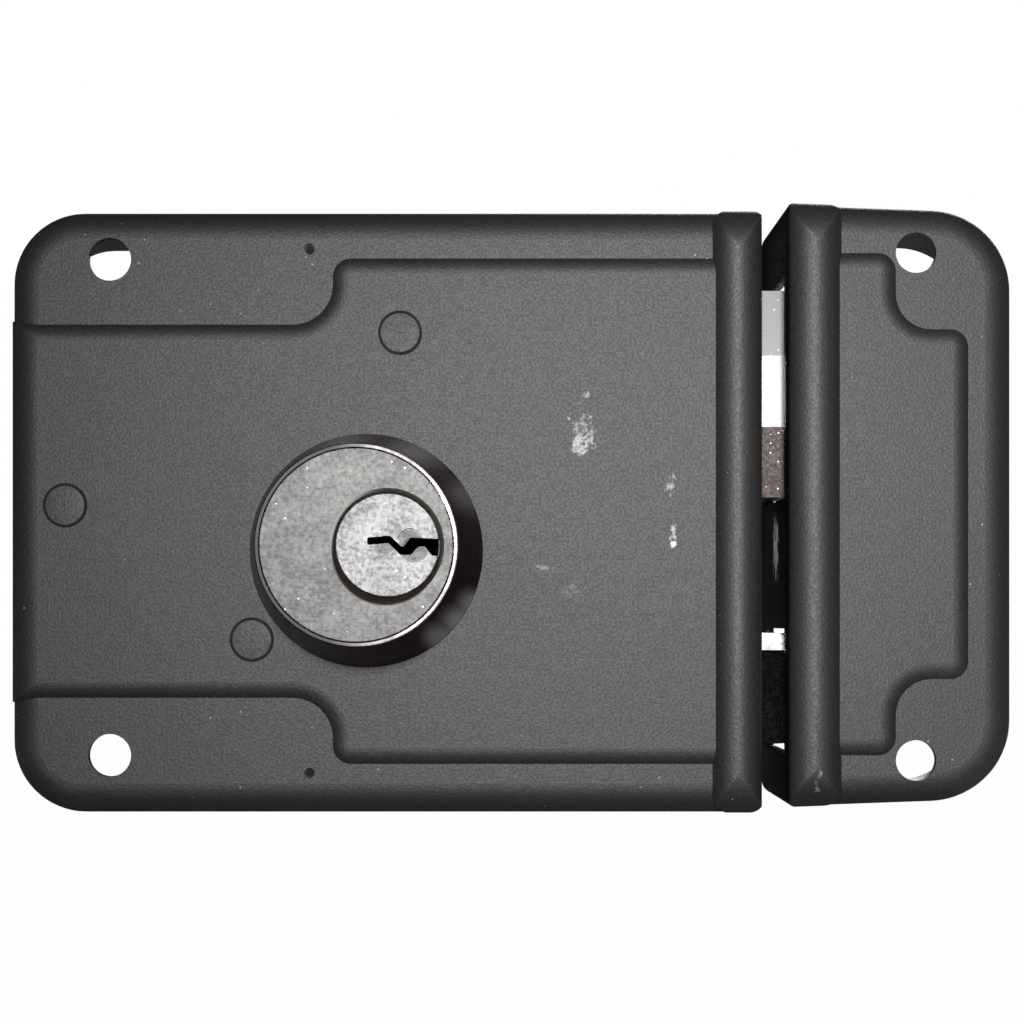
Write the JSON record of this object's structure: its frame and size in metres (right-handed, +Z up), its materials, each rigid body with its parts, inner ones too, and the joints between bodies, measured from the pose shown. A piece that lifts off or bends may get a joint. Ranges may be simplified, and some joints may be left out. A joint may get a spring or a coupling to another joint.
{
  "type": "gate lock",
  "caption": "Surface-mounted gate lock: pressed case with a raised key cylinder, deadbolt, sprung bevelled latch and a separate pressed strike.",
  "frame": {"origin": "the key's axis on the mounting plane, which is the centre of the hole that the outside cylinder's tail bar comes through", "axes": "+X along the bolts towards the strike, +Y back into the gate, +Z up; the front faces -Y"},
  "size_m": [0.1297, 0.0432, 0.079],
  "materials": {
    "enamel": "fine-grained dark enamel",
    "nickel": "satin nickel",
    "dark_nickel": "dark polished nickel",
    "bolt_steel": "scratched plated steel",
    "brass": "turned",
    "zinc_plate": "zinc-plated sheet",
    "spring_steel": "drawn spring steel",
    "post_steel": "turned steel, its rivet head enamelled",
    "steel": "turned steel"
  },
  "bodies": {
    "lock": {"case_cover": "enamel", "back_plate": "zinc_plate", "post_upper": "post_steel", "post_lower": "post_steel", "post_side": "post_steel", "bolt_spacer": "zinc_plate", "lever_spacer": "zinc_plate", "back_plate_screws": "steel", "bolt_guide_stud": "steel", "latch_guide_stud": "steel", "latch_guide": "zinc_plate", "bracket_rivets": "steel", "detent_bracket": "zinc_plate", "detent_rivet": "steel", "detent_spring": "spring_steel", "cylinder_barrel": "nickel", "cylinder_rose": "dark_nickel", "cylinder_nut": "zinc_plate", "chamber_caps": "brass", "driver_pins": "brass", "pin_springs": "spring_steel", "latch_spring": "spring_steel"},
    "plug": {"plug": "nickel", "key_pins": "brass", "plug_clip": "spring_steel", "drive_cam": "steel", "cam_cross_pin": "steel"},
    "deadbolt": {"deadbolt_head": "bolt_steel", "deadbolt_tail": "zinc_plate", "deadbolt_rivets": "bolt_steel"},
    "latch": {"latch_bolt": "bolt_steel", "latch_stem": "zinc_plate"},
    "latch_lever": {"latch_lever": "zinc_plate", "lever_drive_pin": "steel"},
    "strike": {"strike_cover": "enamel"}
  },
  "joints": [
    {"name": "key_turn", "type": "hinge", "parent": "lock", "child": "plug", "pos_m": [0, 0, 0], "axis": [0, -1, 0], "range_deg": [0, 85.97]},
    {"name": "deadbolt_slide", "type": "slide", "parent": "lock", "child": "deadbolt", "axis": [-1, 0, 0], "range_m": [0, 0.015], "deforming": ["detent_spring"]},
    {"name": "latch_slide", "type": "slide", "parent": "lock", "child": "latch", "axis": [-1, 0, 0], "range_m": [0, 0.01], "stiffness_N_per_m": 400, "springref_m": -0.006, "deforming": ["latch_spring"]},
    {"name": "latch_lever_turn", "type": "hinge", "parent": "lock", "child": "latch_lever", "pos_m": [-0.0423, 0, 0.0058], "axis": [0, 1, 0], "range_deg": [0, 24]},
    {"name": "strike_slide", "type": "slide", "parent": "lock", "child": "strike", "axis": [1, 0, 0], "range_m": [0, 0.025]}
  ],
  "couplings": [
    {"joint": "key_turn", "follows": "deadbolt_slide", "rad_per_m": 100.03},
    {"joint": "latch_lever_turn", "follows": "latch_slide", "rad_per_m": 41.888}
  ]
}
